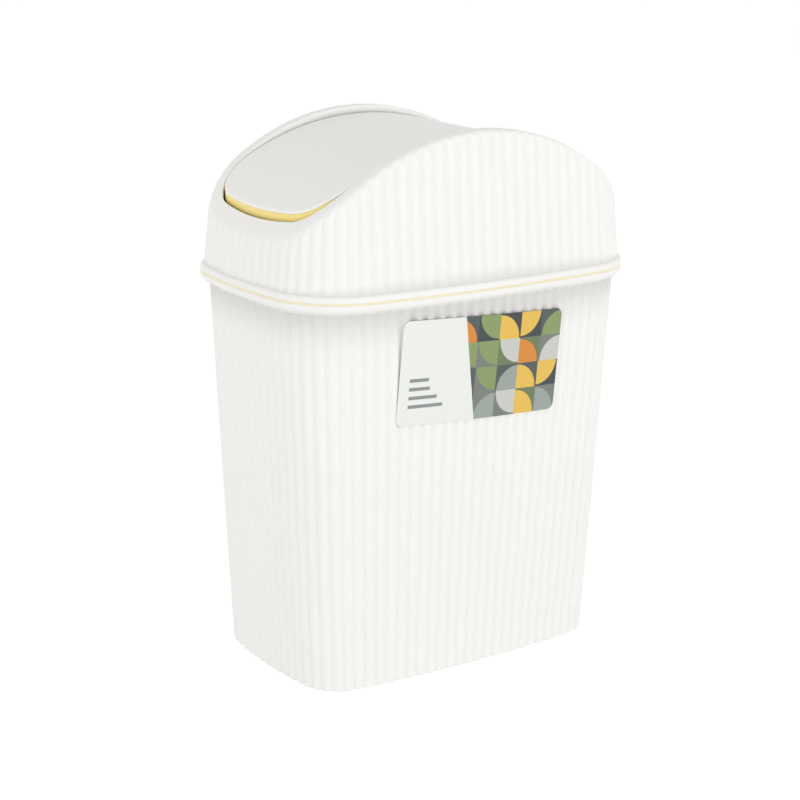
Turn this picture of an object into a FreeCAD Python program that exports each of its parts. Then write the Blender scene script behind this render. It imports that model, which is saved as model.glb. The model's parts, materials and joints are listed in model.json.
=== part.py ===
import FreeCAD, Part
import Sketcher
import math
import os
from types import SimpleNamespace
from FreeCAD import Placement, Rotation, Vector

# A mini trash can: a ribbed bucket, a bag ring, a domed lid and a flap that swings both ways.
# The origin is the middle of the base, +Z is up, and X runs along the broad sides. Sizes are in millimetres.

DIMENSIONS = [
    ("overall_length", 175.0, "length over the seam flange"),
    ("overall_width", 115.0, "width over the seam flange"),
    ("flange_corner", 31.0, "corner radius of the seam flange"),
    ("side_bow", 582.0, "radius of the bow of the broad sides"),
    ("end_bow", 208.0, "radius of the bow of the narrow ends"),
    ("base_length", 148.8, "length of the bucket at its foot"),
    ("base_width", 93.1, "width of the bucket at its foot"),
    ("base_corner", 17.8, "corner radius of the bucket at its foot"),
    ("seam_height", 166.5, "height of the bucket's rim"),
    ("rib_count", 88, "ribs all round"),
    ("rib_depth", 1.0, "height of a rib above the valleys beside it"),
    ("wall", 1.1, "wall under the valleys"),
    ("floor_height", 3.4, "inside of the bucket's floor above the ground"),
    ("foot_width", 5.0, "width of the ring that the bucket stands on"),
    ("foot_recess", 1.6, "rise of the underside inside that ring"),
    ("rim_height", 3.5, "height of the bucket's rim bead"),
    ("rim_edge", 0.3, "upright part of the rim bead's edge, above its rounding"),
    ("rim_overhang", 3.5, "reach of the flange past the bucket's wall"),
    ("ring_thickness", 0.9, "thickness of the bag ring between rim and lid"),
    ("ring_inset", 0.35, "set-back of the bag ring's edge from the flange"),
    ("ring_clearance", 0.4, "play between the bag ring's skirt and the bucket"),
    ("ring_wall", 1.3, "wall of the bag ring's skirt"),
    ("ring_depth", 9.0, "depth of the bag ring's skirt"),
    ("lid_setback", 1.3, "set-back of the lid's wall from the flange"),
    ("lid_draft", 5.6, "lean of the lid's wall, in degrees"),
    ("lid_plate", 1.6, "thickness of the lid's flange plate"),
    ("lid_edge", 0.8, "upright part of the lid's flange edge"),
    ("lid_bead", 2.5, "height of the lid's flange bead"),
    ("lid_skirt_clearance", 0.4, "play between the lid's skirt and the bag ring"),
    ("lid_skirt_depth", 6.0, "depth of the lid's locating skirt"),
    ("shoulder_height", 15.7, "rise of the lid's arched top above the seam, over the flange's ends"),
    ("dome_rise", 47.8, "rise of the arched top from there to its crest"),
    ("dome_thickness", 1.8, "thickness of the arched top"),
    ("lip_round", 4.0, "rounding of the lid's upper edge"),
    ("end_lip", 9.5, "distance from the flange's end to the opening"),
    ("side_lip", 14.2, "distance from the flange's side to the opening"),
    ("opening_corner", 19.5, "corner radius of the opening"),
    ("opening_bow", 3000.0, "radius of the bow of the opening's long edges"),
    ("flap_recess", 3.2, "depth of the flap's crest below the lid's crest"),
    ("flap_proud", 3.1, "height of the flap's ends above the lid's top there"),
    ("cover_thickness", 1.6, "thickness of the flap's cover"),
    ("cover_end_gap", 1.0, "gap from the cover's end to the opening"),
    ("cover_side_gap", 1.0, "gap from the cover's side to the opening"),
    ("cover_corner", 18.5, "corner radius of the cover"),
    ("liner_thickness", 1.4, "thickness of the flap's liner"),
    ("liner_end_gap", 1.1, "gap from the liner's end to the opening"),
    ("liner_side_gap", 1.1, "gap from the liner's side to the opening"),
    ("liner_corner", 18.4, "corner radius of the liner"),
    ("liner_rim", 3.0, "depth of the liner's turned-down rim, from its top"),
    ("liner_rim_wall", 1.4, "wall of that rim"),
    ("peg_x", 46.0, "distance of the cover's pegs from the ridge"),
    ("peg_y", 24.0, "distance of the cover's pegs from the middle"),
    ("peg_radius", 1.6, "radius of the cover's pegs"),
    ("peg_clearance", 0.15, "play of the pegs in the liner"),
    ("peg_proud", 0.8, "reach of the pegs past the liner"),
    ("pivot_drop", 10.5, "depth of the swing axis below the lid's crest"),
    ("pin_radius", 2.5, "radius of a pivot pin"),
    ("pin_head_radius", 4.0, "radius of a pivot pin's head"),
    ("pin_head", 1.5, "thickness of a pivot pin's head"),
    ("pin_chamfer", 0.5, "chamfer at a pivot pin's tip"),
    ("pin_press", 0.02, "play of a pin in the flap's cheek"),
    ("pin_running", 0.06, "play of a pin in the lid's boss"),
    ("cheek_radius", 5.5, "radius of the flap's cheeks round the pins"),
    ("cheek_thickness", 2.0, "thickness of the flap's cheeks"),
    ("cheek_inset", 0.4, "set-back of the cheeks from the liner's side"),
    ("boss_radius", 5.0, "radius of the lid's pivot bosses"),
    ("boss_gap", 0.4, "set-back of the bosses from the opening's edge"),
    ("bore_end", 0.5, "room past a pin's tip in its bore"),
    ("bore_floor", 0.9, "solid from a pin's bore to the middle of the lid's wall"),
    ("web_thickness", 2.0, "thickness of the web above a boss"),
    ("label_length", 80.3, "length of the label"),
    ("label_width", 43.8, "width of the label"),
    ("label_corner", 3.0, "corner radius of the label"),
    ("label_x", -1.4, "middle of the label along X"),
    ("label_margin", 7.7, "distance from the rim bead down to the label"),
    ("label_tilt", -2.8, "tilt of the label, in degrees"),
    ("label_thickness", 0.25, "thickness of the label"),
    ("label_gap", 0.1, "adhesive under the label, over the crests of the ribs"),
]

doc = FreeCAD.newDocument("mini_trash_can")
sizes = doc.addObject("Spreadsheet::Sheet", "sizes")
for row, (alias, value, meaning) in enumerate(DIMENSIONS, start=1):
    sizes.set(f"A{row}", meaning)
    sizes.set(f"B{row}", str(value))
    sizes.setAlias(f"B{row}", alias)
doc.recompute()
dim = SimpleNamespace(**{alias: float(sizes.get(alias)) for alias, _, _ in DIMENSIONS})

# Heights, radii and places that several pieces share, as expressions on the sheet
LID_BASE = "sizes.seam_height + sizes.ring_thickness"
CREST = "sizes.seam_height + sizes.shoulder_height + sizes.dome_rise"
DOME_RADIUS = "((sizes.overall_length / 2)^2 + sizes.dome_rise^2) / (2 * sizes.dome_rise)"
DOME_CENTRE = f"{CREST} - {DOME_RADIUS}"
FLAP_REACH = "(sizes.overall_length / 2 - sizes.end_lip - sizes.cover_end_gap)"
LID_DROP = f"({DOME_RADIUS} - sqrt(({DOME_RADIUS})^2 - {FLAP_REACH}^2))"
FLAP_DROP = f"({LID_DROP} - sizes.flap_recess - sizes.flap_proud)"
COVER_RADIUS = f"({FLAP_REACH}^2 + {FLAP_DROP}^2) / (2 * {FLAP_DROP})"
LINER_RADIUS = f"{COVER_RADIUS} - sizes.cover_thickness"
FLAP_CENTRE = f"{CREST} - sizes.flap_recess - {COVER_RADIUS}"
LID_LEAN = "tan(sizes.lid_draft * 1 deg)"
PIVOT_HEIGHT = f"{CREST} - sizes.pivot_drop"
OPENING_SIDE = "sizes.overall_width / 2 - sizes.side_lip"
CHEEK_FACE = f"{OPENING_SIDE} - sizes.liner_side_gap - sizes.cheek_inset"
BOSS_FACE = f"{OPENING_SIDE} + sizes.boss_gap"
WALL_MIDDLE = "sizes.lid_setback + sizes.rib_depth + sizes.wall / 2"
BOSS_ROOT = f"sizes.overall_width / 2 - ({WALL_MIDDLE}) - ({PIVOT_HEIGHT} - ({LID_BASE})) * {LID_LEAN}"
BORE_BOTTOM = f"{BOSS_ROOT} - sizes.bore_floor"
PIN_START = f"{CHEEK_FACE} - sizes.cheek_thickness - sizes.pin_head"
PIN_LENGTH = f"{BORE_BOTTOM} - sizes.bore_end - ({PIN_START})"
ALONG_Y = Rotation(Vector(1, 0, 0), -90)

# Points this close to a surface or a plane lie on it
TOUCH = 0.01


def value(expression):
    """The number that an expression on the sheet gives."""
    return float(sizes.evalExpression(expression))


lid_base = value(LID_BASE)
crest = value(CREST)
dome_radius = value(DOME_RADIUS)
dome_centre = value(DOME_CENTRE)
lid_lean = value(LID_LEAN)
shell_thickness = dim.rib_depth + dim.wall
opening_length = dim.overall_length - 2 * dim.end_lip
opening_width = dim.overall_width - 2 * dim.side_lip

# The bag ring's skirt clears the bucket at its foot, where the bucket is narrower than at its mouth
bucket_growth = max(dim.overall_length - dim.base_length, dim.overall_width - dim.base_width) / 2
bucket_taper = (bucket_growth - dim.rim_overhang) / dim.seam_height
ring_skirt_inset = dim.rim_overhang + shell_thickness + dim.ring_clearance + bucket_taper * dim.ring_depth
ring_hole_inset = ring_skirt_inset + dim.ring_wall
lid_skirt_inset = ring_hole_inset + dim.lid_skirt_clearance


def add(kind, name, bound=None, **properties):
    """Add an object to the document, set its properties and bind others to the sheet."""
    item = doc.addObject(kind, name)
    for key, value in properties.items():
        setattr(item, key, value)
    for key, expression in (bound or {}).items():
        item.setExpression(key, expression)
    return item


def fuse(name, *shapes):
    """The solid that several solids make together."""
    return add("Part::MultiFuse", name, Shapes=list(shapes))


def common(name, *shapes):
    """What several solids share."""
    return add("Part::MultiCommon", name, Shapes=list(shapes))


def cut(name, base, tool):
    """A solid less another."""
    return add("Part::Cut", name, Base=base, Tool=tool)


def cross_cylinder(name, radius, height, start, length):
    """A cylinder that lies along Y at x = 0. All its sizes are expressions on the sheet."""
    bound = {"Radius": radius, "Height": length, "Placement.Base.y": start, "Placement.Base.z": height}
    return add("Part::Cylinder", name, bound, Placement=Placement(Vector(), ALONG_Y))


def arch_cylinder(name, radius, centre):
    """A cylinder about the axis of the arched top or of the flap, as long as the object is wide."""
    return cross_cylinder(name, radius, centre, "-sizes.overall_width / 2", "sizes.overall_width")


# Outlines: four bowed sides and four corners, all tangent arcs, from the middle of the front side round


def outline(length, width, side_bow, end_bow, corner):
    """Arcs of a bowed rounded rectangle, each as centre x, centre y, radius, start angle and end angle."""
    side_y = width / 2 - side_bow
    end_x = length / 2 - end_bow
    from_side = side_bow - corner
    from_end = end_bow - corner
    span = math.hypot(end_x, side_y)
    along = (from_side ** 2 - from_end ** 2 + span ** 2) / (2 * span)
    off = math.sqrt(from_side ** 2 - along ** 2)
    corner_x = (end_x * along - side_y * off) / span
    corner_y = side_y - (side_y * along + end_x * off) / span
    alpha = math.atan2(corner_x, corner_y - side_y)
    beta = math.atan2(corner_y, corner_x - end_x)
    quarter = math.pi / 2
    return [
        (0, -side_y, side_bow, -quarter, -quarter + alpha),
        (corner_x, -corner_y, corner, -quarter + alpha, -beta),
        (end_x, 0, end_bow, -beta, beta),
        (corner_x, corner_y, corner, beta, quarter - alpha),
        (0, side_y, side_bow, quarter - alpha, quarter + alpha),
        (-corner_x, corner_y, corner, quarter + alpha, 2 * quarter - beta),
        (-end_x, 0, end_bow, 2 * quarter - beta, 2 * quarter + beta),
        (-corner_x, -corner_y, corner, 2 * quarter + beta, 3 * quarter - alpha),
        (0, -side_y, side_bow, 3 * quarter - alpha, 3 * quarter),
    ]


def inset(arcs, distance):
    """The same outline, smaller by a distance all round."""
    return [(x, y, radius - distance, start, end) for x, y, radius, start, end in arcs]


def arc_point(arc, angle, depth, height):
    """The point of an arc at an angle, moved in by a depth and up to a height."""
    x, y, radius, _, _ = arc
    reach = radius - depth
    return Vector(x + reach * math.cos(angle), y + reach * math.sin(angle), height)


def place_on(arcs, distance, depth, height):
    """The point at a distance round the outline, moved in by a depth."""
    lengths = [radius * (end - start) for _, _, radius, start, end in arcs]
    distance = distance % sum(lengths)
    for arc, length in zip(arcs, lengths):
        if distance <= length:
            break
        distance = distance - length
    return arc_point(arc, arc[3] + distance / arc[2], depth, height)


def smooth_wire(name, arcs, height):
    """The outline as a closed wire of arcs at a height."""
    edges = []
    for arc in arcs:
        start, end = arc[3], arc[4]
        points = [arc_point(arc, angle, 0, height) for angle in (start, (start + end) / 2, end)]
        edges.append(Part.Arc(*points).toShape())
    return add("Part::Feature", name, Shape=Part.Wire(edges))


def ribbed_wire(name, arcs, height):
    """The outline as a closed wire of equal ribs. Each rib is one arc from valley over crest to valley."""
    perimeter = sum(radius * (end - start) for _, _, radius, start, end in arcs)
    count = round(dim.rib_count)
    step = perimeter / count
    edges = []
    for rib in range(count):
        valley = place_on(arcs, (rib - 0.5) * step, dim.rib_depth, height)
        crest = place_on(arcs, rib * step, 0, height)
        next_valley = place_on(arcs, (rib + 0.5) * step, dim.rib_depth, height)
        edges.append(Part.Arc(valley, crest, next_valley).toShape())
    return add("Part::Feature", name, Shape=Part.Wire(edges))


def loft(name, *wires):
    """A solid of straight rulings between wires."""
    return add("Part::Loft", name, Sections=list(wires), Solid=True, Ruled=True)


def prism(name, arcs, low, rise):
    """An upright solid on an outline. Its rise is an expression on the sheet."""
    base = smooth_wire(f"{name}_outline", arcs, low)
    upright = {"DirMode": "Custom", "Dir": Vector(0, 0, 1), "Solid": True}
    return add("Part::Extrusion", name, {"LengthFwd": rise}, Base=base, **upright)


def bucket_outline(height):
    """The bucket's outline over the crests of its ribs, which grows evenly from the foot to the seam."""
    share = height / dim.seam_height

    def between(foot, top):
        return foot + share * (top - foot)

    return outline(
        between(dim.base_length, dim.overall_length - 2 * dim.rim_overhang),
        between(dim.base_width, dim.overall_width - 2 * dim.rim_overhang),
        between(dim.side_bow, dim.side_bow - dim.rim_overhang),
        between(dim.end_bow, dim.end_bow - dim.rim_overhang),
        between(dim.base_corner, dim.flange_corner - dim.rim_overhang),
    )


flange_arcs = outline(dim.overall_length, dim.overall_width, dim.side_bow, dim.end_bow, dim.flange_corner)
base_arcs = bucket_outline(0)
wall_arcs = bucket_outline(dim.seam_height)
opening_arcs = outline(opening_length, opening_width, dim.opening_bow, dim.end_bow, dim.opening_corner)


def round_edges(name, base, radius, chosen):
    """Round the edges of a solid that a test on the edge picks."""
    doc.recompute()
    picked = [i for i, edge in enumerate(base.Shape.Edges, start=1) if chosen(edge)]
    return add("Part::Fillet", name, Base=base, Edges=[(i, radius, radius) for i in picked])


def make_bucket():
    """Tapered ribbed container with a rolled rim, a flat floor and a standing ring."""
    wall = loft(
        "bucket_wall",
        ribbed_wire("bucket_foot_ribs", base_arcs, 0),
        ribbed_wire("bucket_top_ribs", wall_arcs, dim.seam_height),
    )
    rim_foot = dim.seam_height - dim.rim_height
    block = prism("bucket_rim_block", flange_arcs, rim_foot, "sizes.rim_height")
    rounding = dim.rim_height - dim.rim_edge
    rim = round_edges("bucket_rim", block, rounding, lambda edge: edge.BoundBox.ZMax < rim_foot + TOUCH)
    floor_arcs = bucket_outline(dim.floor_height)
    hollow = loft(
        "bucket_hollow",
        smooth_wire("bucket_floor_outline", inset(floor_arcs, shell_thickness), dim.floor_height),
        smooth_wire("bucket_mouth_outline", inset(wall_arcs, shell_thickness), dim.seam_height),
    )
    recess = prism("bucket_recess", inset(base_arcs, dim.foot_width), 0, "sizes.foot_recess")
    return cut("bucket", fuse("bucket_block", wall, rim), fuse("bucket_room", hollow, recess))


def make_bag_ring():
    """Flat ring on the bucket's rim, with a skirt that hangs inside the bucket's mouth."""
    plate = prism("ring_plate", inset(flange_arcs, dim.ring_inset), dim.seam_height, "sizes.ring_thickness")
    skirt_foot = dim.seam_height - dim.ring_depth
    rise = "sizes.ring_depth + sizes.ring_thickness"
    skirt = prism("ring_skirt", inset(flange_arcs, ring_skirt_inset), skirt_foot, rise)
    hole = prism("ring_hole", inset(flange_arcs, ring_hole_inset), skirt_foot, rise)
    return cut("bag_ring", fuse("ring_block", plate, skirt), hole)


def make_lid_shell():
    """Ribbed lid with an arched top, a flange bead, a locating skirt, an opening and two pivot bosses."""

    def leaning_loft(name, setback, low, wire):
        ends = []
        for label, height in (("foot", low), ("top", crest + dim.lip_round)):
            arcs = inset(flange_arcs, setback + (height - lid_base) * lid_lean)
            ends.append(wire(f"{name}_{label}", arcs, height))
        return loft(name, *ends)

    def on_dome(edge):
        points = edge.discretize(Number=5)
        return all(abs(math.hypot(p.x, p.z - dome_centre) - dome_radius) < TOUCH for p in points)

    ribbed = leaning_loft("lid_ribbed_wall", dim.lid_setback, lid_base, ribbed_wire)
    envelope = common(
        "lid_envelope",
        leaning_loft("lid_smooth_wall", dim.lid_setback - dim.rib_depth / 2, lid_base, smooth_wire),
        arch_cylinder("lid_dome", DOME_RADIUS, DOME_CENTRE),
    )
    rounded = round_edges("lid_rounded", envelope, dim.lip_round, on_dome)
    body = common("lid_body", ribbed, rounded)

    edge_top = lid_base + dim.lid_edge
    flange = fuse(
        "lid_flange",
        prism("lid_flange_edge", flange_arcs, lid_base, "sizes.lid_edge"),
        loft(
            "lid_flange_slope",
            smooth_wire("lid_flange_foot", flange_arcs, edge_top),
            smooth_wire("lid_flange_top", inset(flange_arcs, dim.lid_setback), lid_base + dim.lid_bead),
        ),
    )
    skirt_foot = lid_base - dim.lid_skirt_depth
    skirt_rise = "sizes.lid_skirt_depth + sizes.lid_plate"
    skirt = prism("lid_skirt", inset(flange_arcs, lid_skirt_inset), skirt_foot, skirt_rise)
    block = fuse("lid_block", body, flange, skirt)

    plate_top = lid_base + dim.lid_plate
    room = common(
        "lid_room",
        leaning_loft("lid_inner_wall", dim.lid_setback + shell_thickness, plate_top, smooth_wire),
        arch_cylinder("lid_inner_dome", f"{DOME_RADIUS} - sizes.dome_thickness", DOME_CENTRE),
    )
    throat = prism("lid_throat", inset(flange_arcs, lid_skirt_inset + dim.wall), skirt_foot, skirt_rise)
    opening = prism("lid_opening", opening_arcs, plate_top, f"{CREST} - sizes.seam_height")
    shell = cut("lid_hollowed", block, fuse("lid_inside", room, throat, opening))

    boss_length = f"sizes.overall_width / 2 - ({BOSS_FACE})"
    bore_depth = f"{BORE_BOTTOM} - ({BOSS_FACE})"
    bore_radius = "sizes.pin_radius + sizes.pin_running"
    rods = []
    bores = []
    for side in ("front", "back"):
        start = "-sizes.overall_width / 2" if side == "front" else BOSS_FACE
        rods.append(cross_cylinder(f"boss_rod_{side}", "sizes.boss_radius", PIVOT_HEIGHT, start, boss_length))
        web_size = {
            "Length": "sizes.web_thickness",
            "Width": boss_length,
            "Height": "sizes.pivot_drop - sizes.dome_thickness / 2",
            "Placement.Base.x": "-sizes.web_thickness / 2",
            "Placement.Base.y": start,
            "Placement.Base.z": PIVOT_HEIGHT,
        }
        rods.append(add("Part::Box", f"boss_web_{side}", web_size))
        bore_start = f"-({BORE_BOTTOM})" if side == "front" else BOSS_FACE
        bores.append(cross_cylinder(f"bore_{side}", bore_radius, PIVOT_HEIGHT, bore_start, bore_depth))
    wall_middle = leaning_loft("lid_wall_middle", value(WALL_MIDDLE), plate_top, smooth_wire)
    bosses = common("lid_bosses", fuse("lid_boss_rods", *rods), wall_middle)
    return cut("lid_shell", fuse("lid_with_bosses", shell, bosses), fuse("lid_bores", *bores))


def flap_outline(end_gap, side_gap, corner):
    """Outline of a flap piece, inside the opening by a gap at the ends and another at the sides."""
    length = opening_length - 2 * end_gap
    width = opening_width - 2 * side_gap
    return outline(length, width, dim.opening_bow, dim.end_bow, corner)


def flap_panel(name, arcs, radius, thickness):
    """Arched panel: a plan outline cut out of a shell about the flap's axis."""
    shell = cut(
        f"{name}_shell",
        arch_cylinder(f"{name}_outside", radius, FLAP_CENTRE),
        arch_cylinder(f"{name}_inside", f"{radius} - {thickness}", FLAP_CENTRE),
    )
    return common(name, shell, prism(f"{name}_plan", arcs, dome_centre, DOME_RADIUS))


def peg_cylinders(name, radius):
    """Four upright cylinders where the cover's pegs pass through the liner."""
    pegs = []
    for x in ("", "-"):
        for y in ("", "-"):
            bound = {
                "Radius": radius,
                "Height": DOME_RADIUS,
                "Placement.Base.x": f"{x}sizes.peg_x",
                "Placement.Base.y": f"{y}sizes.peg_y",
                "Placement.Base.z": DOME_CENTRE,
            }
            pegs.append(add("Part::Cylinder", f"{name}_peg", bound))
    return fuse(name, *pegs)


def make_flap_cover():
    """Smooth arched cover with four pegs on its underside."""
    arcs = flap_outline(dim.cover_end_gap, dim.cover_side_gap, dim.cover_corner)
    panel = flap_panel("cover_panel", arcs, COVER_RADIUS, "sizes.cover_thickness")
    peg_tip = f"{LINER_RADIUS} - sizes.liner_thickness - sizes.peg_proud"
    reach = cut(
        "peg_reach",
        arch_cylinder("peg_root", f"{COVER_RADIUS} - sizes.cover_thickness / 2", FLAP_CENTRE),
        arch_cylinder("peg_tip", peg_tip, FLAP_CENTRE),
    )
    pegs = common("cover_pegs", peg_cylinders("cover_peg_rods", "sizes.peg_radius"), reach)
    return fuse("flap_cover", panel, pegs)


def make_flap_liner():
    """Arched under-panel with a turned-down rim and two cheeks that hold the pivot pins."""
    arcs = flap_outline(dim.liner_end_gap, dim.liner_side_gap, dim.liner_corner)
    panel = flap_panel("liner_panel", arcs, LINER_RADIUS, "sizes.liner_thickness")
    rim_room = prism("liner_rim_room", inset(arcs, dim.liner_rim_wall), dome_centre, DOME_RADIUS)
    rim = cut("liner_rim", flap_panel("liner_rim_block", arcs, LINER_RADIUS, "sizes.liner_rim"), rim_room)
    cheek_root = f"{FLAP_CENTRE} + {LINER_RADIUS} - sizes.liner_thickness / 2"
    hole_radius = "sizes.pin_radius + sizes.pin_press"
    thickness = "sizes.cheek_thickness"
    cheeks = []
    holes = [peg_cylinders("liner_peg_holes", "sizes.peg_radius + sizes.peg_clearance")]
    for side in ("front", "back"):
        start = f"-({CHEEK_FACE})" if side == "front" else f"{CHEEK_FACE} - {thickness}"
        cheeks.append(cross_cylinder(f"cheek_{side}", "sizes.cheek_radius", PIVOT_HEIGHT, start, thickness))
        neck_size = {
            "Length": "2 * sizes.cheek_radius",
            "Width": thickness,
            "Height": f"{cheek_root} - ({PIVOT_HEIGHT})",
            "Placement.Base.x": "-sizes.cheek_radius",
            "Placement.Base.y": start,
            "Placement.Base.z": PIVOT_HEIGHT,
        }
        cheeks.append(add("Part::Box", f"cheek_neck_{side}", neck_size))
        holes.append(cross_cylinder(f"cheek_hole_{side}", hole_radius, PIVOT_HEIGHT, start, thickness))
    under = arch_cylinder("liner_underneath", f"{LINER_RADIUS} - sizes.liner_thickness / 2", FLAP_CENTRE)
    kept = common("liner_cheeks", fuse("liner_cheek_block", *cheeks), under)
    return cut("flap_liner", fuse("liner_block", panel, rim, kept), fuse("liner_holes", *holes))


def make_pivot_pin(name, turn):
    """Headed pin, pressed through a cheek from inside the flap and free to turn in the lid's boss."""
    body = doc.addObject("PartDesign::Body", name)
    plane = next(item for item in body.Origin.OriginFeatures if item.Role == "XY_Plane")
    sketch = body.newObject("Sketcher::SketchObject", f"{name}_profile")
    sketch.AttachmentSupport = [(plane, "")]
    sketch.MapMode = "FlatFace"
    length = value(PIN_LENGTH)
    corners = [
        Vector(0, 0, 0),
        Vector(dim.pin_head_radius, 0, 0),
        Vector(dim.pin_head_radius, dim.pin_head, 0),
        Vector(dim.pin_radius, dim.pin_head, 0),
        Vector(dim.pin_radius, length, 0),
        Vector(0, length, 0),
    ]
    count = len(corners)
    for i, corner in enumerate(corners):
        sketch.addGeometry(Part.LineSegment(corner, corners[(i + 1) % count]), False)
    for i in range(count):
        sketch.addConstraint(Sketcher.Constraint("Coincident", i, 2, (i + 1) % count, 1))
        sketch.addConstraint(Sketcher.Constraint("Vertical" if i % 2 else "Horizontal", i))
    sketch.addConstraint(Sketcher.Constraint("Coincident", 0, 1, -1, 1))
    measures = [
        ("DistanceX", (0, 1, 0, 2), "sizes.pin_head_radius", dim.pin_head_radius),
        ("DistanceY", (1, 1, 1, 2), "sizes.pin_head", dim.pin_head),
        ("DistanceX", (4, 2, 4, 1), "sizes.pin_radius", dim.pin_radius),
        ("DistanceY", (5, 2, 5, 1), PIN_LENGTH, length),
    ]
    for kind, ends, expression, size in measures:
        index = sketch.addConstraint(Sketcher.Constraint(kind, *ends, size))
        sketch.setExpression(f"Constraints[{index}]", expression)
    turned = body.newObject("PartDesign::Revolution", f"{name}_turned")
    turned.Profile = sketch
    turned.ReferenceAxis = (sketch, ["V_Axis"])
    turned.Angle = 360
    doc.recompute()
    tips = [
        f"Edge{i}"
        for i, edge in enumerate(turned.Shape.Edges, start=1)
        if abs(edge.BoundBox.YMin - length) < TOUCH and edge.BoundBox.XLength > dim.pin_radius
    ]
    chamfer = body.newObject("PartDesign::Chamfer", f"{name}_tip")
    chamfer.Base = (turned, tips)
    chamfer.setExpression("Size", "sizes.pin_chamfer")
    body.Placement = Placement(Vector(), Rotation(Vector(0, 0, 1), turn))
    body.setExpression("Placement.Base.y", f"-({PIN_START})" if turn else PIN_START)
    body.setExpression("Placement.Base.z", PIVOT_HEIGHT)
    return body


def make_label():
    """Thin sticker that lies on the crests of the ribs, a little askew."""
    stretched = []
    for name, reach in (("label_face", dim.label_gap + dim.label_thickness), ("label_back", dim.label_gap)):
        foot = smooth_wire(f"{name}_foot", inset(base_arcs, -reach), 0)
        top = smooth_wire(f"{name}_top", inset(wall_arcs, -reach), dim.seam_height)
        stretched.append(loft(name, foot, top))
    half_x = dim.label_length / 2
    half_z = dim.label_width / 2
    turn = dim.label_corner
    slope = turn * (1 - math.sqrt(0.5))
    edges = []
    for sign_x, sign_z in ((1, 1), (-1, 1), (-1, -1), (1, -1)):
        upright = Vector(sign_x * half_x, 0, sign_z * (half_z - turn))
        middle = Vector(sign_x * (half_x - slope), 0, sign_z * (half_z - slope))
        level = Vector(sign_x * (half_x - turn), 0, sign_z * half_z)
        ordered = (upright, middle, level) if sign_x * sign_z > 0 else (level, middle, upright)
        edges.append(Part.Arc(*ordered).toShape())
    sides = []
    for i, edge in enumerate(edges):
        after = edges[(i + 1) % len(edges)]
        sides.extend([edge, Part.LineSegment(edge.Vertexes[-1].Point, after.Vertexes[0].Point).toShape()])
    wire = add("Part::Feature", "label_outline", Shape=Part.Wire(sides))
    tilt = Rotation(Vector(0, 1, 0), -dim.label_tilt)
    middle_height = dim.seam_height - dim.rim_height - dim.label_margin - half_z
    wire.Placement = Placement(Vector(dim.label_x, 0, middle_height), tilt)
    outward = {"DirMode": "Custom", "Dir": Vector(0, -1, 0), "Solid": True}
    stamp = add("Part::Extrusion", "label_stamp", {"LengthFwd": "sizes.overall_width"}, Base=wire, **outward)
    return common("label", cut("label_skin", *stretched), stamp)


nodes = [
    make_bucket(),
    make_bag_ring(),
    make_lid_shell(),
    make_flap_cover(),
    make_flap_liner(),
    make_pivot_pin("pivot_pin_front", 180),
    make_pivot_pin("pivot_pin_back", 0),
    make_label(),
]
doc.recompute()

for item in doc.Objects:
    if "Invalid" in item.State or "Error" in item.State:
        raise RuntimeError(f"{item.Label} failed: {item.State}")
for node in nodes:
    if node.Shape.isNull() or not node.Shape.isValid():
        raise RuntimeError(f"{node.Label} has no valid shape")

os.makedirs("parts", exist_ok=True)
for node in nodes:
    node.Shape.exportStep(f"parts/{node.Label}.step")
    print(f"{node.Label}: {len(node.Shape.Solids)} solid, {node.Shape.Volume:.0f} mm3")
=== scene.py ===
import json
import math

import bpy
import numpy as np
from mathutils import Matrix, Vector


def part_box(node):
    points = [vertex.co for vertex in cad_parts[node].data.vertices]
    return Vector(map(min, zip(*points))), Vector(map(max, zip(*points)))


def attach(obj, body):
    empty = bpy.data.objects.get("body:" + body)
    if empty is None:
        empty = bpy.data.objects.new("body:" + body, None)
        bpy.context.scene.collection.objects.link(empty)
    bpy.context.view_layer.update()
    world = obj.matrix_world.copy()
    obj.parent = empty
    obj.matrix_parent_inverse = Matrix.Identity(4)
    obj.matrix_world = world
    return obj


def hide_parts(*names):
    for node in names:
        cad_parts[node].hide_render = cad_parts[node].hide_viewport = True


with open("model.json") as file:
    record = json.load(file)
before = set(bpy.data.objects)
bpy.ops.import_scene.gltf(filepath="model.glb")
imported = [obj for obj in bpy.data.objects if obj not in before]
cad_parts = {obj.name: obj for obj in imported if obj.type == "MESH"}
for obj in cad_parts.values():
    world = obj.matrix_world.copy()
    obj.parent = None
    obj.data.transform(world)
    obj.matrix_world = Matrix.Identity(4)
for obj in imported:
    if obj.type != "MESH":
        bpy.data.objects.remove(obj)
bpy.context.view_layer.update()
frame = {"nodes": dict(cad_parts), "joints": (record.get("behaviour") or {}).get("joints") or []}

# A mini trash can: a ribbed white bucket, a yellow bag ring, an arched lid and a flap with a yellow liner.
# Lengths are in metres, the origin is the middle of the base, and the labelled broad side faces -Y.
MM = 0.001

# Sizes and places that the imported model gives
bucket_low, bucket_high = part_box("bucket")
ring_low, ring_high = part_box("bag_ring")
lid_low, lid_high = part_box("lid_shell")
cover_low, cover_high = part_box("flap_cover")
liner_low, liner_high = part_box("flap_liner")
FLANGE_LENGTH = bucket_high.x - bucket_low.x
FLANGE_WIDTH = bucket_high.y - bucket_low.y
SEAM = bucket_high.z
LID_BASE = ring_high.z
CREST = lid_high.z
PIVOT = next(joint["pos_m"][2] for joint in frame["joints"] if joint["name"] == "flap_swing")

# Outlines: bow of the sides and ends, and corner radii
SIDE_BOW = 582.0 * MM
END_BOW = 208.0 * MM
FLANGE_CORNER = 31.0 * MM
BASE_LENGTH = 148.8 * MM
BASE_WIDTH = 93.1 * MM
BASE_CORNER = 17.8 * MM

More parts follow.
